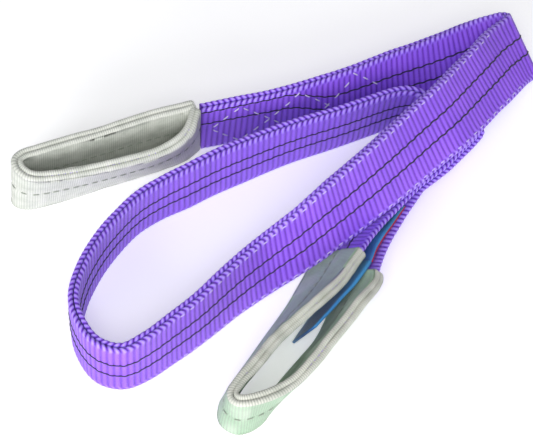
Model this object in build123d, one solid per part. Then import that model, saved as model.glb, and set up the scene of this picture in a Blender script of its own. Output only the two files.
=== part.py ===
from build123d import *
import math
import os

# Two-ply flat web sling with two sleeved soft eyes, lying coiled on a surface.
# The webbing stands on its long edge. Every strand follows one smooth mid-line,
# and at each station the strap's width direction leans away from upright.

# Driving dimensions, in millimetres
WEB_WIDTH = 30.0        # width of the webbing
PLY = 2.1               # thickness of one ply
PLY_GAP = 0.3           # air between the two plies
SLEEVE_WIDTH = 33.0     # wear sleeve, a little wider than the webbing
SLEEVE_WALL = 1.5       # one wall of the sleeve
SLEEVE_GAP = 0.15       # air between webbing and sleeve
SLEEVE_INSET = 12.0     # the inner walls start this much further from the throat
LABEL_WIDTH = 22.0
LABEL_LEAF = 0.5        # thickness of one label leaf
LABEL_GAP = 0.3
THREAD = 0.7            # sewing thread, width
THREAD_HEIGHT = 0.4
THREAD_LIFT = 0.25      # air under a stitch
STITCH = 3.4            # length of one stitch
STITCH_PITCH = 5.4
SPLICE_PITCH = 4.6      # stitches of the zigzag splices lie closer
STEP = 6.0              # longest distance between two sections of a strand
FINE_STEP = 3.5         # the same round a bend
HINGE_REAR = 5.0        # free length left open at the rear strand's flexing line
HINGE_EYE = 4.0         # the same at an eye's throat
JOIN = 0.3              # air where two strands of one body follow each other
CENTRE = (5.3, -9.2)    # middle of the coil in the plan grid of the routes below

# Stations: plan x, plan y, height of the mid-line, lean of the width direction
# away from upright in degrees, and the plan direction that it leans towards.
REAR = [
    (-29, 41, 15.2, 7, -72),
    (-13, 45, 15.2, 6, -72),
    (8, 50, 15.2, 2, -72),
    (33, 58, 15.2, 8, 112),
    (55, 67, 15.5, 16, 112),
]
REAR_BEND = [
    (55, 67, 15.5, 16, 112),
    (75, 74.5, 16, 26, 113),
    (93, 80.5, 18, 42, 116),
    (104, 83.5, 20, 50, 118),
    (110.5, 84.5, 21.5, 54, 120),
    (113, 82, 22, 55, 121),
    (110, 78, 22.8, 54, 124),
    (104.5, 71, 24.8, 51, 133),
]
FRONT = [
    (104.5, 71, 24.8, 51, 133),
    (98, 61, 27, 46, 138),
    (89.3, 48.7, 28.8, 44, 139),
    (78.9, 34.1, 31, 41, 139),
    (67.8, 22, 31.3, 37, 139),
    (57, 10, 31.5, 33, 139),
    (46.2, -1.9, 32, 30, 138),
    (35.1, -12.2, 30.6, 26, 136),
    (24, -22, 29, 22, 134),
    (12.8, -29, 23.4, 18, 133),
    (2, -34, 17.6, 13, 133),
    (-8.5, -42, 15.6, 9, 133),
    (-18, -51.5, 15.3, 6, 133),
    (-27.5, -61.7, 15.2, 3, 132),
    (-37.8, -71.2, 15.2, 1, 128),
]
LEFT_BEND = [
    (-37.8, -71.2, 15.2, 1, 128),
    (-48, -80, 15.2, 1, -57),
    (-57, -85, 15.2, 3, -80),
    (-66.5, -82.5, 15.2, 2, -60),
    (-73.5, -74, 15.2, 1, -30),
    (-77.8, -61, 15.2, 1, 0),
    (-76, -46, 15.2, 3, -15),
    (-70.5, -31, 15.2, 5, -24),
]
MIDDLE = [
    (-70.5, -31, 15.2, 5, -24),
    (-63, -18, 15.2, 7, -33),
    (-54.5, -7, 15.2, 8, -43),
    (-44.5, 1, 15.2, 8, -52),
    (-34, 7.5, 15.2, 6, -60),
    (-23.5, 14.3, 15.2, 6, -60),
    (-12, 20.8, 15.2, 6, -61),
    (9.5, 31.8, 15.2, 8, -65),
    (33.5, 41.8, 15.2, 10, -66),
    (57, 52.3, 15.2, 12, -65),
]
HIDDEN_BEND = [
    (57, 52.3, 15.2, 12, -65),
    (67, 54, 14.4, 28, -62),
    (76, 53.8, 12.3, 45, -56),
    (82.5, 51.5, 9.9, 58, -48),
    (84, 47.5, 8.6, 64, -41),
    (80.5, 42, 8.2, 66, -37),
    (74.5, 35, 8.2, 66, -35),
]
THROAT = [
    (74.5, 35, 8.2, 66, -35),
    (65, 23.5, 8.4, 65, -35),
    (55.5, 13.5, 9.2, 62, -35),
]
# From here on each ply has its own line. The upper one runs to the eye's left
# leg and the lower one to its right leg, with the label sewn between them.
THROAT_UPPER = [
    (55.1, 13.9, 10.3, 62, -35),
    (47, 3, 10.6, 60, -35),
    (40, -8.5, 11.2, 54, -37),
    (35.2, -17.8, 12.1, 49, -38),
    (31.4, -26.5, 13.3, 46, -39),
]
THROAT_LOWER = [
    (55.9, 13.1, 8.1, 62, -35),
    (47.5, -3.5, 8.7, 59, -36),
    (42, -17, 9.8, 54, -38),
    (39.2, -27.5, 11, 50, -40),
    (37.6, -36.5, 12.9, 46.5, -40),
]
LABEL_ROOT = [
    (50.6, 1.5, 10.8, 60.5, -35),
    (44.9, -10.1, 11.6, 56, -37),
    (39.7, -22.2, 12.8, 50, -39),
    (36.9, -32.1, 14, 46, -40),
]
LABEL = [
    (36.9, -32.1, 14, 46, -40),
    (30.6, -44.6, 14.2, 41, -37),
    (22.8, -57, 13.6, 33, -32),
    (15, -68.3, 12.9, 28, -30),
]
# The eyes: out along one leg, round the tip, and back along the other.
EYE_1 = [
    (-31.3, 41.4, 16.8, 7, -72),
    (-38, 38.6, 16.8, 7, -71),
    (-50, 34.5, 16.9, 7, -70),
    (-70, 26.5, 16.8, 8, -68),
    (-86, 20, 16.9, 8, -66),
    (-97.5, 15.5, 16.9, 8, -62),
    (-103.5, 13, 16.9, 8, -50),
    (-106.3, 9.5, 16.9, 9, -50),
    (-104, 5.5, 16.8, 13, -60),
    (-97.2, 4.3, 16.6, 18, -68),
    (-80.3, 9.1, 16.3, 24, -68),
    (-59.4, 16.7, 16, 28, -68),
    (-44.3, 23.1, 16.1, 27, -68),
    (-35.3, 29.7, 16.5, 20, -70),
    (-30.6, 39.2, 16.8, 7, -72),
]
EYE_2 = [
    (31.4, -26.5, 13.3, 46, -39),
    (28.3, -33, 13.8, 44, -40),
    (22.3, -45, 14.5, 40, -32),
    (14.7, -57, 15.4, 33, -31),
    (6.7, -68.2, 16, 28, -30),
    (-1, -79, 16.4, 23, -30),
    (-9, -91.5, 16.5, 21, -30),
    (-13.8, -99.8, 16.6, 17, -38),
    (-14.6, -106, 16.7, 13, -60),
    (-10, -109, 16.7, 12, -80),
    (-1.5, -105.6, 16.6, 16, -60),
    (6, -98.2, 16.5, 24, -42),
    (13.8, -87.8, 16.4, 26, -39),
    (20.8, -77.8, 16.4, 25, -36),
    (27, -69, 16.4, 25, -31),
    (32, -59.5, 16.2, 28, -30),
    (35.8, -50.2, 15.2, 36, -34),
    (37.6, -42, 13.9, 44, -40),
    (37.6, -36.5, 12.9, 46.5, -40),
]


def station_values(station):
    """Mid-point and unit width direction of one station, six numbers."""
    x, y, z, lean, towards = station
    lean, towards = math.radians(lean), math.radians(towards)
    flat = math.sin(lean)
    return [
        x - CENTRE[0], y - CENTRE[1], z,
        flat * math.cos(towards), flat * math.sin(towards), math.cos(lean),
    ]


def smooth(values, i, t):
    """Catmull-Rom curve through the rows of values, between rows i and i + 1."""
    last = len(values) - 1
    p1, p2 = values[i], values[i + 1]
    p0 = values[i - 1] if i > 0 else [2 * a - b for a, b in zip(p1, p2)]
    p3 = values[i + 2] if i + 2 <= last else [2 * b - a for a, b in zip(p1, p2)]
    out, slope = [], []
    for a, b, c, d in zip(p0, p1, p2, p3):
        k1, k2, k3 = c - a, 2 * a - 5 * b + 4 * c - d, 3 * b - a - 3 * c + d
        out.append(b + 0.5 * (k1 * t + k2 * t * t + k3 * t ** 3))
        slope.append(0.5 * (k1 + 2 * k2 * t + 3 * k3 * t * t))
    return out, slope


def frames(stations, before=None, after=None, step=STEP):
    """Frames along a strand: point, width direction, normal, running direction.

    before and after are the neighbouring strands' stations, so that a strand
    leaves its end in the direction in which the next one starts."""
    lead = [station_values(s) for s in before[-2:-1]] if before else []
    tail = [station_values(s) for s in after[1:2]] if after else []
    values = lead + [station_values(s) for s in stations] + tail
    final = len(lead) + len(stations) - 2
    found = []
    for i in range(len(lead), final + 1):
        run = math.dist(values[i][:3], values[i + 1][:3])
        count = max(2, math.ceil(run / step))
        for k in range(count + 1 if i == final else count):
            point, slope = smooth(values, i, k / count)
            width = Vector(*point[3:]).normalized()
            normal = Vector(*slope[:3]).cross(width).normalized()
            found.append((Vector(*point[:3]), width, normal, width.cross(normal)))
    return found


def strip(rows, width, thick, offset):
    """A flat strap of one ply: rectangles across the frames, joined in turn."""
    sections = []
    for point, across, normal, along in rows:
        plane = Plane(origin=point + normal * offset, x_dir=across, z_dir=along)
        sections.append(plane * Rectangle(width, thick))
    return loft(sections, ruled=True)


def length_along(rows):
    """Distance of each frame from the first one."""
    run = [0.0]
    for a, b in zip(rows, rows[1:]):
        run.append(run[-1] + (b[0] - a[0]).length)
    return run


def frame_at(rows, run, distance):
    """The frame at a distance along the strand, between two of its frames."""
    i = next(k for k in range(1, len(run)) if run[k] >= distance or k == len(run) - 1)
    share = (distance - run[i - 1]) / (run[i] - run[i - 1])
    return [a + (b - a) * share for a, b in zip(rows[i - 1], rows[i])]


def cut_ends(rows, start, end):
    """The part of a strand between two distances from its two ends."""
    run = length_along(rows)
    stop = run[-1] - end
    inside = [row for row, r in zip(rows, run) if start + 0.5 < r < stop - 0.5]
    return [frame_at(rows, run, start)] + inside + [frame_at(rows, run, stop)]


def stitches(rows, across_at, offset, ends, pitch=STITCH_PITCH):
    """A row of separate stitches on a strap's face.

    across_at gives the place across the width, from -0.5 to 0.5, for each share
    of the seam's length; offset is the height of the face off the mid-line."""
    run = length_along(rows)
    seam = run[-1] - 2 * ends
    count = int(seam / pitch)
    made = []
    for k in range(count):
        share = (k + 0.5) / count
        point, across, normal, along = frame_at(rows, run, ends + share * seam)
        slope = (across_at(share + 0.01) - across_at(share - 0.01)) * WEB_WIDTH / (0.02 * seam)
        lie = (along.normalized() + across.normalized() * slope).normalized()
        side = math.copysign(THREAD_LIFT + THREAD_HEIGHT / 2, offset)
        place = point + across * across_at(share) * WEB_WIDTH + normal * (offset + side)
        plane = Plane(origin=place, x_dir=lie, z_dir=normal)
        made.append(plane * Box(STITCH, THREAD, THREAD_HEIGHT))
    return made


def save(name, shape):
    """Write one node's STEP file; a list becomes a group of separate solids."""
    if isinstance(shape, list):
        shape = Compound(children=shape)
    shape.label = name
    export_step(shape, f"parts/{name}.step")


def two_plies(name, rows):
    """Both plies of a doubled strand, either side of its mid-line."""
    half = (PLY + PLY_GAP) / 2
    save(f"{name}_right_ply", strip(rows, WEB_WIDTH, PLY, half))
    save(f"{name}_left_ply", strip(rows, WEB_WIDTH, PLY, -half))


def sleeved_eye(name, rows, sleeve_start, sleeve_end):
    """One eye: the webbing loop, the two walls of its wear sleeve, their seam.

    The loop runs anticlockwise seen from above, so its outside is on the right."""
    save(f"{name}_webbing", strip(rows, WEB_WIDTH, PLY, 0))
    outer = cut_ends(rows, sleeve_start, sleeve_end)
    inner = cut_ends(rows, sleeve_start + SLEEVE_INSET, sleeve_end + SLEEVE_INSET)
    wall = PLY / 2 + SLEEVE_GAP + SLEEVE_WALL / 2
    save(f"{name}_sleeve_outer", strip(outer, SLEEVE_WIDTH, SLEEVE_WALL, wall))
    save(f"{name}_sleeve_inner", strip(inner, SLEEVE_WIDTH, SLEEVE_WALL, -wall))
    seam = stitches(outer, lambda share: 0.0, wall + SLEEVE_WALL / 2, 3)
    save(f"{name}_sleeve_stitching", seam)


def zigzag(share, turns=3, reach=0.42):
    """Place across the width of a splice seam that crosses from edge to edge."""
    return reach * math.asin(math.sin(turns * math.pi * share)) * 2 / math.pi


def crossed_splice(rows, offset, ends):
    """Two mirrored zigzag seams on one face, which cross in diamonds."""
    return (stitches(rows, zigzag, offset, ends, SPLICE_PITCH)
            + stitches(rows, lambda share: -zigzag(share), offset + THREAD_HEIGHT * 1.3,
                       ends, SPLICE_PITCH))


def main():
    os.makedirs("parts", exist_ok=True)
    face = PLY + PLY_GAP / 2

    rear = cut_ends(frames(REAR, after=REAR_BEND), HINGE_EYE / 2, HINGE_REAR / 2)
    two_plies("rear_strand", rear)
    rear_bend = cut_ends(frames(REAR_BEND, REAR, FRONT, FINE_STEP), HINGE_REAR / 2, JOIN)
    two_plies("rear_bend", rear_bend)
    front = frames(FRONT, REAR_BEND, LEFT_BEND)
    two_plies("front_strand", cut_ends(front, 0, JOIN))
    two_plies("left_bend", cut_ends(frames(LEFT_BEND, FRONT, MIDDLE, FINE_STEP), 0, JOIN))
    two_plies("middle_strand", cut_ends(frames(MIDDLE, LEFT_BEND, HIDDEN_BEND), 0, JOIN))
    hidden = frames(HIDDEN_BEND, MIDDLE, THROAT, FINE_STEP)
    two_plies("hidden_bend", cut_ends(hidden, 0, JOIN))
    throat = cut_ends(frames(THROAT, HIDDEN_BEND), 0, JOIN)
    two_plies("throat_strand", throat)
    upper = cut_ends(frames(THROAT_UPPER, after=EYE_2), 0, HINGE_EYE / 2)
    lower = cut_ends(frames(THROAT_LOWER), 0, HINGE_EYE / 2)
    save("throat_upper_ply", strip(upper, WEB_WIDTH, PLY, 0))
    save("throat_lower_ply", strip(lower, WEB_WIDTH, PLY, 0))

    save("rear_splice_stitching", crossed_splice(rear, face, 4))
    edges = []
    for side in (-0.45, 0.45):
        edges += stitches(front, lambda share: side, -face, 2)
    save("front_edge_stitching", edges)
    save("throat_splice_stitching", crossed_splice(throat, face, 2))

    sleeved_eye("eye_1", cut_ends(frames(EYE_1, step=FINE_STEP), HINGE_EYE / 2, HINGE_EYE / 2), 1, 1)
    sleeved_eye("eye_2", cut_ends(frames(EYE_2, step=FINE_STEP), HINGE_EYE / 2, HINGE_EYE / 2), 1, 1)

    root = cut_ends(frames(LABEL_ROOT, after=LABEL), 0, HINGE_EYE / 2)
    save("label_root", strip(root, LABEL_WIDTH, LABEL_LEAF, 0))
    flap = cut_ends(frames(LABEL, LABEL_ROOT), HINGE_EYE / 2, 0)
    leaf = (LABEL_LEAF + LABEL_GAP) / 2
    save("label_front_leaf", strip(flap, LABEL_WIDTH, LABEL_LEAF, leaf))
    save("label_back_leaf", strip(flap, LABEL_WIDTH, LABEL_LEAF, -leaf))


if __name__ == "__main__":
    main()
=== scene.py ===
import math
import random

import bpy
import numpy as np
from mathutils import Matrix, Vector


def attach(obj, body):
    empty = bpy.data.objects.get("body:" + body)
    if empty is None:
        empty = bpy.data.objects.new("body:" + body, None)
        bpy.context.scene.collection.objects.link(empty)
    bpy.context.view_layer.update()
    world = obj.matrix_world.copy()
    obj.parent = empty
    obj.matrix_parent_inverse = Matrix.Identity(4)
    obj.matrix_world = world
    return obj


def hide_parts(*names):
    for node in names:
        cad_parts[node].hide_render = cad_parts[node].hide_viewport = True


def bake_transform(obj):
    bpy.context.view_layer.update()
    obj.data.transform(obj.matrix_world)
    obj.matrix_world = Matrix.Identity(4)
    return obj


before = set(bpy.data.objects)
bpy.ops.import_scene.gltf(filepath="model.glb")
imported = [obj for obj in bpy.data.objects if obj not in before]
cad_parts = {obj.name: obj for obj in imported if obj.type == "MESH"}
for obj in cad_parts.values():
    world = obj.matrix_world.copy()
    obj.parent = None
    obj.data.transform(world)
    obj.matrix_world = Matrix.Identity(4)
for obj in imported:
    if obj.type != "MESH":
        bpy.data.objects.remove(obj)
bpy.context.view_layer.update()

# A violet two-ply web sling with two sleeved eyes, lying coiled on its edge.
# Lengths are in metres, except the stations, which are in millimetres.

MM = 0.001

WEB_WIDTH = 0.030
PLY = 0.0021
PLY_GAP = 0.0003
RIB = 0.0026            # pitch of the woven ribs
ROWS_PER_RIB = 6
RIB_DEPTH = 0.00030
SELVEDGE = 0.0020       # width of the edge band without ribs
EDGE_BEAD = 0.00042     # how far the selvedge loops stand out
EDGE_SLANT = 0.0007     # how far a loop runs on between the two faces
EDGE_EASE = 0.0008      # width over which the ribs give way to the selvedge
EDGE_DRIFT = 0.00022    # slow waviness of the selvedge
RIB_WANDER = 0.0003     # unevenness of the rib pitch
RIB_SKEW = 0.05         # most that a rib leans, along over across
RIB_CREST = 0.7         # power that widens the crests of the ribs
EDGE_CREST = 0.8
EDGE_DEPTH = 0.7        # groove of the edge band as a share of the ribs' depth
EDGE_THINNING = 0.12    # share of the thickness lost between selvedge loops
SKEW_RUN = 0.13         # lengths over which the weave's unevenness changes
WANDER_RUN = 0.02
DRIFT_RUN = 0.009
TRACER_RADIUS = 0.00036
TRACER_WAVE = 0.00022   # side to side weave of a tracer
TRACER_SINK = 0.00022   # depth of a tracer in the face
TRACER_BOB = 0.00016    # its rise over each rib
TRACER_PLACE = 0.13     # share of the width from the middle to each tracer
TRACER_HIGH = {1: 0.44, 2: 0.15}    # their places beside the first eye
TRACER_SINKS = (0.036, 0.062)       # distances between which they come down
SLEEVE_WIDTH = 0.033
SLEEVE_HALF = 0.0027    # half the thickness of a sleeved leg
SLEEVE_RIB = 0.00095
SLEEVE_ROWS_PER_RIB = 4
SLEEVE_CREST = 0.8
FACE_RIB_DEPTH = 0.00012
LOBE_RIB_DEPTH = 0.00030        # across the width
LOBE_RIB_THINNING = 0.00009     # through the thickness
GATHER_SWELL = 0.00050
GATHER_BIAS = 0.35
GATHER_RUNS = (0.011, 0.014)    # lengths of the gathers on the two edges
PUFF = 0.00035
CREASE_DEPTH = 0.00040
CREASE_RUN = 0.004
CREASE_LANES = 5
MOUTH_NARROWING = 0.055
MOUTH_THINNING = 0.16
PINCH_DEPTH = 0.0007
SLEEVE_MOUTH = 0.0016   # length over which a sleeve narrows at each mouth
PINCH_REACH = 0.0016    # how far the centre seam pulls the cloth in
STITCH_RADIUS = 0.00028
SPLICE_STITCH = 0.0034
SPLICE_PITCH = 0.0046
SPLICE_REACH = 0.42     # share of the width that a splice zigzag swings to
SPLICE_TURNS = 3
SPLICE_MARGIN = 0.004   # bare length at each end of the rear splice
THROAT_MARGIN = 0.002
THREAD_CLEAR = 0.0001   # height of a stitch's middle over the webbing
EDGE_STITCH = 0.0024
EDGE_STITCH_PITCH = 0.0054
EDGE_STITCH_RADIUS = 0.00020
EDGE_STITCH_INSET = 0.0016
SEAM_STITCH = 0.0030
SEAM_PITCH = 0.0042
SEAM_RADIUS = 0.00022
SEAM_SINK = 0.00055     # depth of the centre seam in the sleeve's face
SEAM_MARGIN = 0.003     # bare length at each end of the centre seam
FLEX_REACH = 0.011      # half the length over which the rear strand bends
LABEL_WIDTH = 0.022
EYE_ROWS_PER_RIB = 3
EYE_WEB_INSET = 0.002   # length left out at each end of an eye's hidden webbing
LABEL_STEP = 0.0005
LABEL_ROOT_THICK = 0.0006
LABEL_FLAP_THICK = 0.0011
LINING_THICK = 0.0005
LINING_MARGIN = 0.0006  # how much wider the lining is than the label
LINING_OFFSET = 0.00045
RIPPLE = 0.00012
RIPPLE_RUNS = (0.0031, 0.0077)

SAMPLES_PER_SPAN = 24
FACE_POINTS = 17        # points across the outer face of a ply
BACK_POINTS = 9
EDGE_POINTS = 5
SLEEVE_FACE_POINTS = 13
LOBE_POINTS = 7
TRACER_SIDES = 7
STITCH_RINGS = 7
STITCH_SIDES = 6
LABEL_COLUMNS = 12
UV_SCALE = 100.0        # the strap's own coordinates are in centimetres
CENTRE = (5.3, -9.2)    # middle of the coil in the plan grid of the stations

# Stations along the strap: plan x, plan y, height of the mid-line, lean of the
# width direction from upright in degrees, plan direction that it leans towards.
REAR = [
    (-29, 41, 15.2, 7, -72),
    (-13, 45, 15.2, 6, -72),
    (8, 50, 15.2, 2, -72),
    (33, 58, 15.2, 8, 112),
    (55, 67, 15.5, 16, 112),
]
REAR_BEND = [
    (55, 67, 15.5, 16, 112),
    (75, 74.5, 16, 26, 113),
    (93, 80.5, 18, 42, 116),
    (104, 83.5, 20, 50, 118),
    (110.5, 84.5, 21.5, 54, 120),
    (113, 82, 22, 55, 121),
    (110, 78, 22.8, 54, 124),
    (104.5, 71, 24.8, 51, 133),
]
FRONT = [
    (104.5, 71, 24.8, 51, 133),
    (98, 61, 27, 46, 138),
    (89.3, 48.7, 28.8, 44, 139),
    (78.9, 34.1, 31, 41, 139),
    (67.8, 22, 31.3, 37, 139),
    (57, 10, 31.5, 33, 139),
    (46.2, -1.9, 32, 30, 138),
    (35.1, -12.2, 30.6, 26, 136),
    (24, -22, 29, 22, 134),
    (12.8, -29, 23.4, 18, 133),
    (2, -34, 17.6, 13, 133),
    (-8.5, -42, 15.6, 9, 133),
    (-18, -51.5, 15.3, 6, 133),
    (-27.5, -61.7, 15.2, 3, 132),
    (-37.8, -71.2, 15.2, 1, 128),
]
LEFT_BEND = [
    (-37.8, -71.2, 15.2, 1, 128),
    (-48, -80, 15.2, 1, -57),
    (-57, -85, 15.2, 3, -80),
    (-66.5, -82.5, 15.2, 2, -60),
    (-73.5, -74, 15.2, 1, -30),
    (-77.8, -61, 15.2, 1, 0),
    (-76, -46, 15.2, 3, -15),
    (-70.5, -31, 15.2, 5, -24),
]
MIDDLE = [
    (-70.5, -31, 15.2, 5, -24),
    (-63, -18, 15.2, 7, -33),
    (-54.5, -7, 15.2, 8, -43),
    (-44.5, 1, 15.2, 8, -52),
    (-34, 7.5, 15.2, 6, -60),
    (-23.5, 14.3, 15.2, 6, -60),
    (-12, 20.8, 15.2, 6, -61),
    (9.5, 31.8, 15.2, 8, -65),
    (33.5, 41.8, 15.2, 10, -66),
    (57, 52.3, 15.2, 12, -65),
]
HIDDEN_BEND = [
    (57, 52.3, 15.2, 12, -65),
    (67, 54, 14.4, 28, -62),
    (76, 53.8, 12.3, 45, -56),
    (82.5, 51.5, 9.9, 58, -48),
    (84, 47.5, 8.6, 64, -41),
    (80.5, 42, 8.2, 66, -37),
    (74.5, 35, 8.2, 66, -35),
]
THROAT = [
    (74.5, 35, 8.2, 66, -35),
    (65, 23.5, 8.4, 65, -35),
    (55.5, 13.5, 9.2, 62, -35),
]
# From here on each ply has its own line. The upper one runs to the eye's left
# leg and the lower one to its right leg, with the label sewn between them.
THROAT_UPPER = [
    (55.1, 13.9, 10.3, 62, -35),
    (47, 3, 10.6, 60, -35),
    (40, -8.5, 11.2, 54, -37),
    (35.2, -17.8, 12.1, 49, -38),
    (31.4, -26.5, 13.3, 46, -39),
]
THROAT_LOWER = [
    (55.9, 13.1, 8.1, 62, -35),
    (47.5, -3.5, 8.7, 59, -36),
    (42, -17, 9.8, 54, -38),
    (39.2, -27.5, 11, 50, -40),
    (37.6, -36.5, 12.9, 46.5, -40),
]
LABEL_ROOT = [
    (50.6, 1.5, 10.8, 60.5, -35),
    (44.9, -10.1, 11.6, 56, -37),
    (39.7, -22.2, 12.8, 50, -39),
    (36.9, -32.1, 14, 46, -40),
]
LABEL = [
    (36.9, -32.1, 14, 46, -40),
    (30.6, -44.6, 14.2, 41, -37),
    (22.8, -57, 13.6, 33, -32),
    (15, -68.3, 12.9, 28, -30),
]
# The eyes: out along one leg, round the tip, and back along the other.
EYE_1 = [
    (-31.3, 41.4, 16.8, 7, -72),
    (-38, 38.6, 16.8, 7, -71),
    (-50, 34.5, 16.9, 7, -70),
    (-70, 26.5, 16.8, 8, -68),
    (-86, 20, 16.9, 8, -66),
    (-97.5, 15.5, 16.9, 8, -62),
    (-103.5, 13, 16.9, 8, -50),
    (-106.3, 9.5, 16.9, 9, -50),
    (-104, 5.5, 16.8, 13, -60),
    (-97.2, 4.3, 16.6, 18, -68),
    (-80.3, 9.1, 16.3, 24, -68),
    (-59.4, 16.7, 16, 28, -68),
    (-44.3, 23.1, 16.1, 27, -68),
    (-35.3, 29.7, 16.5, 20, -70),
    (-30.6, 39.2, 16.8, 7, -72),
]
EYE_2 = [
    (31.4, -26.5, 13.3, 46, -39),
    (28.3, -33, 13.8, 44, -40),
    (22.3, -45, 14.5, 40, -32),
    (14.7, -57, 15.4, 33, -31),
    (6.7, -68.2, 16, 28, -30),
    (-1, -79, 16.4, 23, -30),
    (-9, -91.5, 16.5, 21, -30),
    (-13.8, -99.8, 16.6, 17, -38),
    (-14.6, -106, 16.7, 13, -60),
    (-10, -109, 16.7, 12, -80),
    (-1.5, -105.6, 16.6, 16, -60),
    (6, -98.2, 16.5, 24, -42),
    (13.8, -87.8, 16.4, 26, -39),
    (20.8, -77.8, 16.4, 25, -36),
    (27, -69, 16.4, 25, -31),
    (32, -59.5, 16.2, 28, -30),
    (35.8, -50.2, 15.2, 36, -34),
    (37.6, -42, 13.9, 44, -40),
    (37.6, -36.5, 12.9, 46.5, -40),
]


# ---------------------------------------------------------------- strap lines

def station_values(station):
    """Mid-point in metres and width direction of a station."""
    x, y, z, lean, towards = station
    lean, towards = math.radians(lean), math.radians(towards)
    flat = math.sin(lean)
    return np.array([
        (x - CENTRE[0]) * MM, (y - CENTRE[1]) * MM, z * MM,
        flat * math.cos(towards), flat * math.sin(towards), math.cos(lean),
    ])


def dense_line(stations):
    """Catmull-Rom curve through the stations, as many close samples."""
    v = [station_values(s) for s in stations]
    v = [2 * v[0] - v[1]] + v + [2 * v[-1] - v[-2]]
    out = []
    for p0, p1, p2, p3 in zip(v, v[1:], v[2:], v[3:]):
        for k in range(SAMPLES_PER_SPAN):
            t = k / SAMPLES_PER_SPAN
            out.append(p1 + 0.5 * ((p2 - p0) * t + (2 * p0 - 5 * p1 + 4 * p2 - p3) * t * t
                                   + (3 * p1 - p0 - 3 * p2 + p3) * t ** 3))
    out.append(v[-2])
    return np.array(out)


def unit(v):
    return v / np.linalg.norm(v, axis=1, keepdims=True)


class Line:
    """Evenly spaced frames along a strap: point, width, normal, distance."""

    def __init__(self, samples, step):
        point, width = samples[:, :3], unit(samples[:, 3:])
        run = np.concatenate([[0], np.cumsum(np.linalg.norm(np.diff(point, axis=0), axis=1))])
        count = int(run[-1] / step)
        at = np.arange(count + 1) * step
        self.step = step
        self.s = at
        self.point = np.stack([np.interp(at, run, point[:, k]) for k in range(3)], 1)
        self.width = unit(np.stack([np.interp(at, run, width[:, k]) for k in range(3)], 1))
        self.along = unit(np.gradient(self.point, axis=0))
        self.normal = unit(np.cross(self.along, self.width))

    def part(self, first, last):
        """The frames between two distances."""
        keep = (self.s >= first - 1e-9) & (self.s <= last + 1e-9)
        cut = object.__new__(Line)
        cut.step = self.step
        for key in ("s", "point", "width", "along", "normal"):
            setattr(cut, key, getattr(self, key)[keep])
        return cut

    def frame(self, s):
        """Point, width, normal and running direction at one distance."""
        i = int(np.clip(round((s - self.s[0]) / self.step), 0, len(self.s) - 1))
        return self.point[i], self.width[i], self.normal[i], self.along[i]


def joined(*lines):
    """Samples of several lines one after the other, eased where they meet."""
    out = np.concatenate(lines)
    for _ in range(3):
        out[1:-1] = (out[:-2] + 2 * out[1:-1] + out[2:]) / 4
    return out


def smooth_noise(seed, s, period):
    """Seeded smooth noise along a distance, from -1 to 1."""
    rng = random.Random(seed)
    count = int(np.max(s) / period) + 4
    knots = np.array([rng.uniform(-1, 1) for _ in range(count)])
    x = np.clip(s / period, 0, count - 2.001)
    i = x.astype(int)
    t = x - i
    t = t * t * (3 - 2 * t)
    return knots[i] * (1 - t) + knots[i + 1] * t


# -------------------------------------------------------------------- meshes

def new_object(name, verts, faces, material, floats, uv):
    """A smooth mesh object with per-point float attributes and a UV map."""
    mesh = bpy.data.meshes.new(name)
    mesh.from_pydata(verts.tolist(), [], faces.tolist())
    for key, values in floats.items():
        layer = mesh.attributes.new(key, "FLOAT", "POINT")
        layer.data.foreach_set("value", np.asarray(values, np.float32))
    corner = np.empty(len(mesh.loops), np.int32)
    mesh.loops.foreach_get("vertex_index", corner)
    layer = mesh.uv_layers.new(name="UVMap")
    layer.data.foreach_set("uv", uv[corner].astype(np.float32).ravel())
    mesh.materials.append(material)
    mesh.polygons.foreach_set("use_smooth", [True] * len(mesh.polygons))
    mesh.update()
    obj = bpy.data.objects.new(name, mesh)
    bpy.context.scene.collection.objects.link(obj)
    return obj


def tube_faces(rows, ring):
    """Quads between the rows of a swept closed ring, without end caps."""
    i = np.arange(rows - 1)[:, None] * ring
    k = np.arange(ring)[None, :]
    nxt = (k + 1) % ring
    quads = np.stack([i + k, i + nxt, i + ring + nxt, i + ring + k], -1).reshape(-1, 4)
    return quads


def sweep(name, line, across, through, material, floats):
    """Sweep a closed section along a line and cap both ends.

    across and through are rows x ring arrays of places in each frame's width and
    normal directions."""
    rows, ring = across.shape
    verts = (line.point[:, None, :] + across[..., None] * line.width[:, None, :]
             + through[..., None] * line.normal[:, None, :]).reshape(-1, 3)
    side = tube_faces(rows, ring).tolist()
    caps = [list(range(ring))[::-1], list(range((rows - 1) * ring, rows * ring))]
    mesh_faces = np.empty(len(side) + 2, object)
    mesh_faces[:] = side + caps
    uv = np.stack([np.repeat(line.s, ring), across.reshape(-1)], 1) * UV_SCALE
    values = {key: np.broadcast_to(v, (rows, ring)).reshape(-1) for key, v in floats.items()}
    return new_object(name, verts, mesh_faces, material, values, uv)


def ply_ring():
    """Section of one ply: across in metres, through -1..1, and edge weight."""
    thick = PLY / 2
    flat = WEB_WIDTH / 2 - thick
    ring = [(x, 1.0, 0.0) for x in np.linspace(-flat, flat, FACE_POINTS)]
    for k in range(1, EDGE_POINTS + 1):
        a = math.pi / 2 - math.pi * k / (EDGE_POINTS + 1)
        ring.append((flat + thick * math.cos(a), math.sin(a), 1.0))
    ring += [(x, -1.0, 0.0) for x in np.linspace(flat, -flat, BACK_POINTS)]
    for k in range(1, EDGE_POINTS + 1):
        a = -math.pi / 2 - math.pi * k / (EDGE_POINTS + 1)
        ring.append((-flat + thick * math.cos(a), math.sin(a), 1.0))
    return np.array(ring).T


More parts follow.
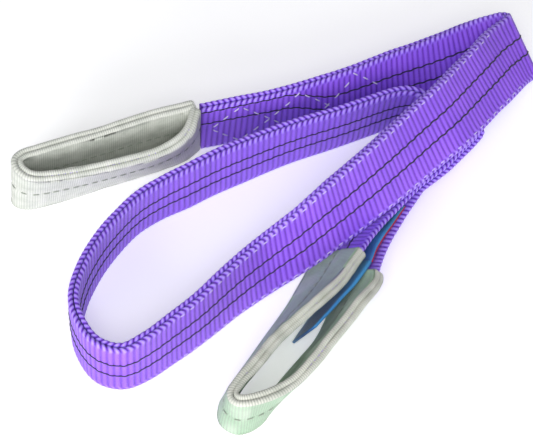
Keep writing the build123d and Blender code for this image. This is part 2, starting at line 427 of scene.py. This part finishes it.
def web_ply(name, line, seed, outer, material):
    """One ply of the webbing: ribs across it and looped selvedges.

    outer is +1 when the ply's outer face is on the normal's side, else -1."""
    u, v, e = ply_ring()
    v = v * outer
    s = line.s[:, None]
    skew = RIB_SKEW * np.sin(s / SKEW_RUN + seed)
    wander = RIB_WANDER * smooth_noise(seed, line.s, WANDER_RUN)[:, None]
    phase = (s + wander + skew * u[None, :]) / RIB
    rib = np.abs(np.sin(math.pi * phase)) ** RIB_CREST
    band = np.clip((np.abs(u) - (WEB_WIDTH / 2 - SELVEDGE)) / EDGE_EASE, 0, 1)[None, :]
    slant = EDGE_SLANT * v[None, :] * outer
    loop = np.abs(np.sin(math.pi * (s + slant + wander) / RIB)) ** EDGE_CREST
    deep = RIB_DEPTH * (1 - rib) * (1 - band) + RIB_DEPTH * EDGE_DEPTH * (1 - loop) * band
    sign = np.sign(v)[None, :]
    through = v[None, :] * PLY / 2 - sign * deep * (1 - e[None, :])
    bead = EDGE_BEAD * (loop - 0.5) * e[None, :]
    drift = EDGE_DRIFT * smooth_noise(seed + 5, line.s, DRIFT_RUN)[:, None] * e[None, :]
    across = u[None, :] + np.sign(u)[None, :] * (bead + drift)
    through = through * (1 - EDGE_THINNING * e[None, :] * (1 - loop))
    edge = np.maximum(band, e[None, :]) * np.ones_like(s)
    return sweep(name, line, across, through, material,
                 {"rib": np.where(edge > 0.5, loop, rib), "edge": edge})


def thread_tube(name, line, place, height, radius, material):
    """A thin cord that lies on a face: place across the width, height off the mid-line."""
    a = np.linspace(0, 2 * math.pi, TRACER_SIDES, endpoint=False)
    across = place[:, None] + radius * np.cos(a)[None, :]
    through = height[:, None] + radius * np.sin(a)[None, :]
    return sweep(name, line, across, through, material, {})


def tracer(name, line, outer, place, material):
    """A dark marker thread woven along a face, dipping at every rib."""
    wave = TRACER_WAVE * np.sin(2 * math.pi * line.s / (2 * RIB))
    bob = TRACER_BOB * np.abs(np.sin(math.pi * line.s / RIB)) ** RIB_CREST
    height = outer * (PLY / 2 - TRACER_SINK + bob)
    return thread_tube(name, line, place + wave, height, TRACER_RADIUS, material)


def stitch_row(line, places, length, first, last, pitch, height, radius=STITCH_RADIUS):
    """Where each stitch of a row lies: centre, direction, face normal, length, radius.

    places gives the place across the width for a share of the row."""
    found = []
    count = int((last - first) / pitch)
    for k in range(count):
        s = first + (k + 0.5) * pitch
        p, w, n, t = line.frame(s)
        share = (s - first) / (last - first)
        at, ahead = places(share), places(min(1, share + 0.01))
        slope = (ahead - at) / (0.01 * (last - first)) if share < 0.99 else 0
        lie = t + w * slope
        lie = lie / np.linalg.norm(lie)
        found.append((p + w * at + n * height, lie, n, length, radius))
    return found


def stitches(name, found, material):
    """One mesh of many capsule stitches, each arched a little over the face."""
    verts, faces = [], []
    for centre, lie, n, length, radius in found:
        side = np.cross(n, lie)
        up = n / np.linalg.norm(n)
        base = len(verts)
        for i in range(STITCH_RINGS):
            x = -1 + 2 * i / (STITCH_RINGS - 1)
            r = radius * math.sqrt(max(0.0, 1 - abs(x) ** 4)) + 1e-5
            arch = 0.6 * radius * (1 - x * x)
            for k in range(STITCH_SIDES):
                a = 2 * math.pi * k / STITCH_SIDES
                verts.append(centre + lie * (x * length / 2) + up * (arch + r * math.sin(a))
                             + side * r * math.cos(a))
        for i in range(STITCH_RINGS - 1):
            for k in range(STITCH_SIDES):
                nxt = (k + 1) % STITCH_SIDES
                a0 = base + i * STITCH_SIDES
                b0 = a0 + STITCH_SIDES
                faces.append([a0 + k, a0 + nxt, b0 + nxt, b0 + k])
        last = base + (STITCH_RINGS - 1) * STITCH_SIDES
        faces.append([base + k for k in range(STITCH_SIDES)][::-1])
        faces.append([last + k for k in range(STITCH_SIDES)])
    faces_array = np.empty(len(faces), object)
    faces_array[:] = faces
    verts = np.array(verts)
    return new_object(name, verts, faces_array, material, {}, verts[:, :2] * UV_SCALE)


# ------------------------------------------------------------------- sleeves

def sleeve_ring():
    """Section of a sleeve round the webbing: across and through in metres, lobe
    weight, and pinch of the centre seam. Each edge has two lobes with a groove
    between them."""
    thick = SLEEVE_HALF
    lobe = thick / 2
    flat = SLEEVE_WIDTH / 2 - lobe

    def face(places, through):
        return [(x, through, 0.0, math.exp(-(x / PINCH_REACH) ** 2)) for x in places]

    def lobes(side, turns):
        found = []
        for turn in turns:
            for k in range(LOBE_POINTS):
                a = side * math.pi / 2 - math.pi * (k + 0.5) / LOBE_POINTS
                found.append((side * flat + lobe * math.cos(a),
                              lobe * turn + lobe * math.sin(a), 1.0, 0.0))
        return found

    ring = face(np.linspace(-flat, flat, SLEEVE_FACE_POINTS), thick) + lobes(1, (1, -1))
    ring += face(np.linspace(flat, -flat, SLEEVE_FACE_POINTS), -thick) + lobes(-1, (-1, 1))
    return np.array(ring).T


def sleeve(name, line, seed, material):
    """A wear sleeve: ribbed tube of cloth, gathered at the edges and at both mouths."""
    u, v, tag, pinch = sleeve_ring()
    s = line.s[:, None]
    total = line.s[-1]
    fine = np.abs(np.sin(math.pi * s / SLEEVE_RIB)) ** SLEEVE_CREST
    gather = smooth_noise(seed, line.s, GATHER_RUNS[0])[:, None]
    gather_low = smooth_noise(seed + 1, line.s, GATHER_RUNS[1])[:, None]
    wrinkle = np.stack([smooth_noise(seed + 10 + k, line.s, CREASE_RUN)
                        for k in range(CREASE_LANES + 1)], 1)
    lanes = np.clip((u / SLEEVE_WIDTH + 0.5) * CREASE_LANES, 0, CREASE_LANES - 0.001)
    i = lanes.astype(int)
    t = lanes - i
    crease = wrinkle[:, i] * (1 - t) + wrinkle[:, i + 1] * t
    upper = (u > 0)[None, :]
    push = np.where(upper, gather, gather_low)
    grow = (LOBE_RIB_DEPTH * (fine - 1) + GATHER_SWELL * (push - GATHER_BIAS)) * tag[None, :]
    across = u[None, :] + np.sign(u)[None, :] * grow
    face = (1 - tag)[None, :]
    sign = np.sign(v)[None, :]
    sink = (PINCH_DEPTH * pinch[None, :] + FACE_RIB_DEPTH * (1 - fine)
            + CREASE_DEPTH * (0.5 - 0.5 * crease))
    through = v[None, :] - sign * (sink * face + LOBE_RIB_THINNING * (1 - fine) * tag[None, :])
    puff = PUFF * push * tag[None, :]
    through = through + sign * np.minimum(puff, 0)
    mouth = np.minimum(s, total - s)
    shut = np.clip(1 - mouth / SLEEVE_MOUTH, 0, 1) ** 2
    across = across * (1 - MOUTH_NARROWING * shut)
    through = through * (1 - MOUTH_THINNING * shut)
    return sweep(name, line, across, through, material,
                 {"rib": fine * np.ones_like(through), "lobe": tag[None, :] * np.ones_like(s),
                  "crease": crease})


# --------------------------------------------------------------------- label

def flat_strip(name, line, width, thick, material):
    """A thin strip of tape with a faint ripple along it."""
    x = np.linspace(-0.5, 0.5, LABEL_COLUMNS)
    u = np.concatenate([x, x[::-1]]) * width
    v = np.concatenate([np.full(LABEL_COLUMNS, thick / 2), np.full(LABEL_COLUMNS, -thick / 2)])
    s = line.s[:, None]
    ripple = RIPPLE * np.sin(s / RIPPLE_RUNS[0] + 1.3) * np.sin(s / RIPPLE_RUNS[1])
    across = u[None, :] * np.ones_like(s)
    through = v[None, :] + ripple
    total = line.s[-1]
    return sweep(name, line, across, through, material,
                 {"travel": (s / total) * np.ones_like(across),
                  "edge": (np.abs(2 * u / width) ** 6)[None, :] * np.ones_like(s)})


# ----------------------------------------------------------------- materials

class Nodes:
    """A small helper that builds one material's node tree."""

    def __init__(self, name, roughness, sheen=0.0, tint=(1, 1, 1, 1)):
        self.material = bpy.data.materials.new(name)
        self.material.use_nodes = True
        self.tree = self.material.node_tree
        self.shader = self.tree.nodes["Principled BSDF"]
        self.shader.inputs["Roughness"].default_value = roughness
        self.shader.inputs["Sheen Weight"].default_value = sheen
        self.shader.inputs["Sheen Tint"].default_value = tint
        self.shader.inputs["Specular IOR Level"].default_value = 0.35

    def node(self, kind, **settings):
        made = self.tree.nodes.new(kind)
        for key, value in settings.items():
            setattr(made, key, value)
        return made

    def link(self, a, b):
        self.tree.links.new(a, b)

    def attribute(self, name):
        return self.node("ShaderNodeAttribute", attribute_name=name).outputs["Fac"]

    def uv(self, scale=(1, 1, 1)):
        """The strap's own coordinates in centimetres, stretched by scale."""
        place = self.node("ShaderNodeMapping")
        place.inputs["Scale"].default_value = scale
        own = self.node("ShaderNodeUVMap", uv_map="UVMap")
        self.link(own.outputs["UV"], place.inputs["Vector"])
        return place.outputs["Vector"]

    def noise(self, scale, detail=2.0, stretch=(1, 1, 1)):
        made = self.node("ShaderNodeTexNoise")
        made.inputs["Scale"].default_value = scale
        made.inputs["Detail"].default_value = detail
        self.link(self.uv(stretch), made.inputs["Vector"])
        return made.outputs["Fac"]

    def wave(self, scale, direction="X", stretch=(1, 1, 1), distortion=0.6):
        made = self.node("ShaderNodeTexWave", bands_direction=direction)
        made.inputs["Scale"].default_value = scale
        made.inputs["Distortion"].default_value = distortion
        self.link(self.uv(stretch), made.inputs["Vector"])
        return made.outputs["Fac"]

    def ramp(self, value, *stops):
        made = self.node("ShaderNodeValToRGB")
        band = made.color_ramp
        while len(band.elements) < len(stops):
            band.elements.new(0.5)
        for element, (place, colour) in zip(band.elements, stops):
            element.position = place
            element.color = (*colour, 1)
        self.link(value, made.inputs["Fac"])
        return made.outputs["Color"]

    def mix(self, factor, a, b, how="MIX"):
        made = self.node("ShaderNodeMix", data_type="RGBA", blend_type=how)
        for socket, value in ((made.inputs["Factor"], factor), (made.inputs["A"], a),
                              (made.inputs["B"], b)):
            if isinstance(value, bpy.types.NodeSocket):
                self.link(value, socket)
            elif isinstance(value, tuple):
                socket.default_value = (*value, 1)
            else:
                socket.default_value = value
        return made.outputs["Result"]

    def math(self, how, a, b):
        made = self.node("ShaderNodeMath", operation=how)
        for socket, value in zip(made.inputs, (a, b)):
            if isinstance(value, bpy.types.NodeSocket):
                self.link(value, socket)
            else:
                socket.default_value = value
        return made.outputs["Value"]

    def finish(self, colour, height=None, strength=0.4, distance=0.0002):
        self.link(colour, self.shader.inputs["Base Color"])
        if height is not None:
            bump = self.node("ShaderNodeBump")
            bump.inputs["Strength"].default_value = strength
            bump.inputs["Distance"].default_value = distance
            self.link(height, bump.inputs["Height"])
            self.link(bump.outputs["Normal"], self.shader.inputs["Normal"])
        return self.material


def webbing_material():
    """Violet ribbed polyester: painted shade in the deep grooves, painted lavender sheen on the
    crests, fine slanted yarns.
    """
    m = Nodes("violet_webbing", 0.5, 0.25, (0.72, 0.6, 1, 1))
    rib, edge = m.attribute("rib"), m.attribute("edge")
    # Deep violet in the grooves and lavender on the crests: painted shade in the grooves,
    # painted sheen on the crests.
    colour = m.ramp(rib, (0.05, (0.070, 0.003, 0.300)), (0.5, (0.190, 0.024, 0.640)),
                    (0.92, (0.310, 0.105, 0.900)))
    patch = m.ramp(m.noise(0.9, 3, (1, 0.5, 1)), (0.35, (0.80, 0.72, 0.90)), (0.7, (1, 1, 1)))
    colour = m.mix(1.0, colour, patch, "MULTIPLY")
    yarn = m.wave(9.0, "DIAGONAL", (1, 2.2, 1), 1.2)
    colour = m.mix(m.math("MULTIPLY", yarn, 0.20), colour, (0.46, 0.30, 1.0))
    fleck = m.ramp(m.noise(26, 2), (0.55, (0, 0, 0)), (0.78, (1, 1, 1)))
    fleck_amount = m.math("MULTIPLY", fleck, 0.30)
    colour = m.mix(fleck_amount, colour, (0.52, 0.38, 1.0))
    # Selvedge loops: painted lavender highlights on the loops and painted shade in the dark
    # violet gaps between them.
    edge_colour = m.ramp(rib, (0.15, (0.045, 0.003, 0.220)), (0.6, (0.220, 0.075, 0.760)),
                         (1.0, (0.480, 0.340, 1.000)))
    colour = m.mix(m.math("MULTIPLY", edge, 0.9), colour, edge_colour)
    height = m.math("ADD", m.math("MULTIPLY", yarn, 0.7), m.noise(40, 2))
    return m.finish(colour, height, 0.5, 0.00012)


def sleeve_material(name, face, lobe, shade):
    """Pale wear sleeve: fine ribs and puckers, with painted shade in the rib grooves and a
    painted highlight on the raised puckers, so greyer in the creases.
    """
    m = Nodes(name, 0.72, 0.2)
    rib, edge, crease = m.attribute("rib"), m.attribute("lobe"), m.attribute("crease")
    colour = m.mix(edge, face, lobe)
    colour = m.mix(m.math("MULTIPLY", m.math("SUBTRACT", 1.0, rib), 0.6), colour, shade)
    dirt = m.ramp(m.noise(1.4, 4, (1, 1.6, 1)), (0.40, (0, 0, 0)), (0.72, (1, 1, 1)))
    colour = m.mix(m.math("MULTIPLY", dirt, 0.38), colour, shade)
    # Paler where the puckers stand up: painted highlight on the raised parts, with painted
    # shade left in the creases.
    pale = m.math("MULTIPLY", m.math("MAXIMUM", crease, 0.0), 0.30)
    colour = m.mix(pale, colour, (0.80, 0.80, 0.75))
    yarn = m.wave(30, "Y", (1, 1, 1), 0.8)
    height = m.math("ADD", m.math("MULTIPLY", yarn, 0.4), m.noise(30, 3))
    return m.finish(colour, height, 0.45, 0.00012)


def thread_material(name, colour, dark, scale=38):
    """Twisted sewing thread."""
    m = Nodes(name, 0.55, 0.15)
    twist = m.wave(scale, "DIAGONAL", (1, 1, 1), 0.4)
    shade = m.mix(twist, dark, colour)
    return m.finish(shade, twist, 0.5, 0.0001)


def label_material():
    """Plain woven label: teal near the seam, bright blue at the free end."""
    m = Nodes("blue_label", 0.42, 0.1)
    travel, edge = m.attribute("travel"), m.attribute("edge")
    colour = m.ramp(travel, (0.0, (0.004, 0.070, 0.090)), (0.35, (0.010, 0.140, 0.260)),
                    (0.62, (0.035, 0.260, 0.620)), (0.85, (0.015, 0.120, 0.480)),
                    (1.0, (0.020, 0.130, 0.440)))
    patch = m.ramp(m.noise(1.6, 3), (0.3, (0.72, 0.78, 0.86)), (0.7, (1, 1, 1)))
    colour = m.mix(1.0, colour, patch, "MULTIPLY")
    colour = m.mix(m.math("MULTIPLY", edge, 0.5), colour, (0.10, 0.42, 0.82))
    weave = m.math("ADD", m.wave(34, "X"), m.wave(34, "Y"))
    return m.finish(colour, weave, 0.3, 0.00006)


def plain_cloth_material(name, colour, dark):
    """Small woven tape."""
    m = Nodes(name, 0.5, 0.1)
    weave = m.wave(34, "X")
    return m.finish(m.mix(weave, dark, colour), weave, 0.3, 0.00006)


def floor_material():
    m = Nodes("pale_floor", 0.9)
    place = m.node("ShaderNodeTexCoord").outputs["Object"]
    grain = m.node("ShaderNodeTexNoise")
    grain.inputs["Scale"].default_value = 30
    m.link(place, grain.inputs["Vector"])
    colour = m.mix(grain.outputs["Fac"], (0.88, 0.88, 0.89), (0.92, 0.92, 0.92))
    m.shader.inputs["Emission Color"].default_value = (1, 1, 1, 1)
    m.shader.inputs["Emission Strength"].default_value = 0.35
    return m.finish(colour)


# -------------------------------------------------------------- the assembly

STEP = RIB / ROWS_PER_RIB
HALF = (PLY + PLY_GAP) / 2
FACE = PLY + PLY_GAP / 2
THROAT_SKIP = 6     # samples left out where a ply leaves the doubled strand
THROAT_CUT = 18     # samples left out inside the second eye's sleeve


def route():
    """The doubled strand from the first eye's throat to the second splice."""
    strands = [REAR, REAR_BEND, FRONT, LEFT_BEND, MIDDLE, HIDDEN_BEND, THROAT]
    stations = list(REAR)
    for strand in strands[1:]:
        stations += strand[1:]
    return dense_line(stations)


def shifted(samples, offset):
    """The same samples moved along their normals."""
    point, width = samples[:, :3], unit(samples[:, 3:])
    normal = unit(np.cross(np.gradient(point, axis=0), width))
    return np.concatenate([point + normal * offset, width], 1)


def distance_to(line, station):
    """Distance along a line of its frame nearest to a station."""
    at = station_values(station)[:3]
    return float(line.s[np.argmin(np.linalg.norm(line.point - at, axis=1))])


def throat_line(samples, offset, branch, eye_start):
    """A ply that leaves the doubled strand and ends inside a leg's sleeve."""
    tail = dense_line(branch + [eye_start])[THROAT_SKIP:-THROAT_CUT]
    return Line(joined(shifted(samples, offset), tail), STEP)


def cross_rear(piece):
    """Webbing over the rear strand's flexing line, with its placement baked into its mesh."""
    at = Vector(station_values(REAR[-1])[:3])
    away = (at - Vector(station_values(REAR[-2])[:3])).normalized() * FLEX_REACH
    away.z = 0
    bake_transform(piece)
    return piece


def add_webbing(materials):
    """Both plies of the doubled strand, in a rear and a main length each."""
    samples = route()
    middle = Line(samples, STEP)
    flex_end = distance_to(middle, REAR_BEND[2])
    lines = {
        "right": throat_line(samples, HALF, THROAT_UPPER, EYE_2[1]),
        "left": throat_line(samples, -HALF, THROAT_LOWER, EYE_2[-2]),
    }
    for name, sign in (("right", 1), ("left", -1)):
        line = lines[name]
        ends = {"rear": (0.0, flex_end), "main": (flex_end, line.s[-1])}
        for stretch, (first, last) in ends.items():
            part = line.part(first, last)
            ply = web_ply(f"{stretch}_web_{name}", part, 11 if sign > 0 else 12, sign,
                          materials["webbing"])
            marks = [tracer(f"{stretch}_tracer_{name}_{k}", part, sign,
                            tracer_place(part, name, k), materials["tracer"]) for k in (1, 2)]
            for piece in [ply] + marks:
                if stretch == "rear":
                    cross_rear(piece)
                else:
                    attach(piece, "root")
            if stretch == "main":
                nodes = ["rear_bend", "front_strand", "left_bend", "middle_strand",
                         "hidden_bend", "throat_strand"]
                own = "throat_upper_ply" if name == "right" else "throat_lower_ply"
                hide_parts(own, *[f"{node}_{name}_ply" for node in nodes])
            else:
                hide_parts(f"rear_strand_{name}_ply")
    return middle


def tracer_place(line, name, k):
    """Place of a tracer across the width. On the right ply both start high beside
    the first eye and come down to their usual places."""
    usual = TRACER_PLACE * (1 if k == 1 else -1)
    place = np.full(len(line.s), usual * WEB_WIDTH)
    if name == "right":
        start, settled = TRACER_SINKS
        ease = np.clip((line.s - start) / (settled - start), 0, 1)
        ease = ease * ease * (3 - 2 * ease)
        place = (TRACER_HIGH[k] + (usual - TRACER_HIGH[k]) * ease) * WEB_WIDTH
    return place


def zigzag(reach, turns, flip):
    """Place across the width of a zigzag row, for a share of its length."""
    def place(share):
        return flip * reach * math.asin(math.sin(turns * math.pi * share)) * 2 / math.pi
    return place


def add_stitching(middle, materials):
    """Pale seams: splices on the rear strand and throat, edges of the front strand."""
    lift = FACE + THREAD_CLEAR
    rear_end = distance_to(middle, REAR[-1]) - SPLICE_MARGIN
    reach = SPLICE_REACH * WEB_WIDTH
    splice = []
    for flip in (1, -1):
        splice += stitch_row(middle, zigzag(reach, SPLICE_TURNS, flip), SPLICE_STITCH,
                             SPLICE_MARGIN, rear_end, SPLICE_PITCH, lift)
    rear = stitches("rear_splice_seam", splice, materials["thread"])
    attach(rear, "rear")
    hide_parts("rear_splice_stitching")

    first, last = distance_to(middle, FRONT[0]), distance_to(middle, FRONT[-1])
    edge = []
    for side in (-1, 1):
        inset = side * (WEB_WIDTH / 2 - EDGE_STITCH_INSET)
        edge += stitch_row(middle, lambda share: inset, EDGE_STITCH, first, last,
                           EDGE_STITCH_PITCH, -lift + THREAD_CLEAR, EDGE_STITCH_RADIUS)
    front = stitches("front_edge_seam", edge, materials["thread"])
    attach(front, "root")
    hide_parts("front_edge_stitching")

    first = distance_to(middle, THROAT[0])
    last = distance_to(middle, THROAT[-1]) - THROAT_MARGIN
    cross = []
    for flip in (1, -1):
        cross += stitch_row(middle, zigzag(reach, SPLICE_TURNS, flip), SPLICE_STITCH, first,
                            last, SPLICE_PITCH, lift)
    throat = stitches("throat_splice_seam", cross, materials["thread"])
    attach(throat, "root")
    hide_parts("throat_splice_stitching")


def add_eye(name, stations, materials, seed):
    """One eye: hidden webbing loop, sleeve, and the sleeve's centre seam."""
    line = Line(dense_line(stations), SLEEVE_RIB / SLEEVE_ROWS_PER_RIB)
    loop = Line(dense_line(stations), RIB / EYE_ROWS_PER_RIB)
    hidden = loop.part(EYE_WEB_INSET, loop.s[-1] - EYE_WEB_INSET)
    web = web_ply(f"{name}_web", hidden, seed, 1, materials["webbing"])
    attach(web, name)
    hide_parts(f"{name}_webbing")
    cloth = sleeve(f"{name}_sleeve", line, seed, materials[name])
    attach(cloth, name)
    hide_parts(f"{name}_sleeve_outer", f"{name}_sleeve_inner")
    seam = []
    for side in (1, -1):
        seam += stitch_row(line, lambda share: 0.0, SEAM_STITCH, SEAM_MARGIN,
                           line.s[-1] - SEAM_MARGIN, SEAM_PITCH,
                           side * (SLEEVE_HALF - SEAM_SINK), SEAM_RADIUS)
    thread = stitches(f"{name}_seam", seam, materials["sleeve_thread"])
    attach(thread, name)
    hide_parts(f"{name}_sleeve_stitching")


def add_label(materials):
    """The label: its root between the throat plies, its flap inside the eye."""
    whole = Line(dense_line(LABEL_ROOT + LABEL[1:]), LABEL_STEP)
    hinge = distance_to(whole, LABEL[0])
    root = flat_strip("label_root_tape", whole.part(0, hinge), LABEL_WIDTH, LABEL_ROOT_THICK,
                      materials["label"])
    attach(root, "root")
    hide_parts("label_root")
    flap = flat_strip("label_flap_tape", whole.part(hinge, whole.s[-1]), LABEL_WIDTH,
                      LABEL_FLAP_THICK, materials["label"])
    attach(flap, "label")
    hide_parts("label_front_leaf", "label_back_leaf")
    under = Line(shifted(dense_line(LABEL_ROOT), -LINING_OFFSET), LABEL_STEP)
    lining = flat_strip("label_lining", under, LABEL_WIDTH + LINING_MARGIN, LINING_THICK,
                        materials["lining"])
    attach(lining, "root")


def build():
    materials = {
        "webbing": webbing_material(),
        "tracer": thread_material("tracer_yarn", (0.020, 0.014, 0.045), (0.004, 0.003, 0.012)),
        "thread": thread_material("white_thread", (0.90, 0.88, 0.96), (0.60, 0.52, 0.82)),
        "sleeve_thread": thread_material("seam_thread", (0.50, 0.54, 0.47), (0.20, 0.24, 0.19)),
        "eye_1": sleeve_material("sleeve_first_eye", (0.68, 0.70, 0.64), (0.74, 0.75, 0.69),
                                 (0.30, 0.34, 0.28)),
        # The sage green given to the second sleeve's faces is painted shade with a green
        # reflection in it.
        "eye_2": sleeve_material("sleeve_second_eye", (0.37, 0.56, 0.38), (0.70, 0.70, 0.63),
                                 (0.25, 0.29, 0.24)),
        "label": label_material(),
        "lining": plain_cloth_material("red_lining", (0.75, 0.03, 0.10), (0.35, 0.01, 0.05)),
    }
    middle = add_webbing(materials)
    add_stitching(middle, materials)
    add_eye("eye_1", EYE_1, materials, 21)
    add_eye("eye_2", EYE_2, materials, 31)
    add_label(materials)


def stage():
    """Pale floor, plain room light and three soft lamps."""
    bpy.ops.mesh.primitive_plane_add(size=12, location=(0, 0, -0.0004))
    floor = bpy.context.object
    floor.name = "floor"
    floor.data.materials.append(floor_material())

    world = bpy.data.worlds.new("soft_room")
    world.use_nodes = True
    world.node_tree.nodes["Background"].inputs["Color"].default_value = (0.95, 0.96, 1.0, 1)
    world.node_tree.nodes["Background"].inputs["Strength"].default_value = 0.38
    bpy.context.scene.world = world

    lamps = (("key", (-0.55, -1.25, 0.42), 0.55, 14), ("front", (0.0, -0.85, 1.05), 0.5, 7),
             ("fill", (1.0, -1.0, 0.5), 0.9, 2.5))
    for name, place, size, power in lamps:
        data = bpy.data.lights.new(name, "AREA")
        data.size = size
        data.energy = power
        lamp = bpy.data.objects.new(name, data)
        lamp.location = place
        lamp.rotation_euler = (-Vector(place)).to_track_quat("-Z", "Y").to_euler()
        bpy.context.scene.collection.objects.link(lamp)


def camera():
    """Looks down at the plan grid's middle from the front."""
    elevation, distance = math.radians(52), 0.9
    target = Vector((-CENTRE[0] * MM, -CENTRE[1] * MM, 0))
    data = bpy.data.cameras.new("camera")
    data.lens = 141.4
    data.sensor_width = 36
    data.clip_start = 0.01
    eye = bpy.data.objects.new("camera", data)
    back = Vector((0, -math.cos(elevation), math.sin(elevation)))
    eye.location = target + back * distance
    eye.rotation_euler = (-back).to_track_quat("-Z", "Y").to_euler()
    bpy.context.scene.collection.objects.link(eye)
    bpy.context.scene.camera = eye


build()
stage()
camera()
bpy.context.scene.view_settings.view_transform = "Standard"
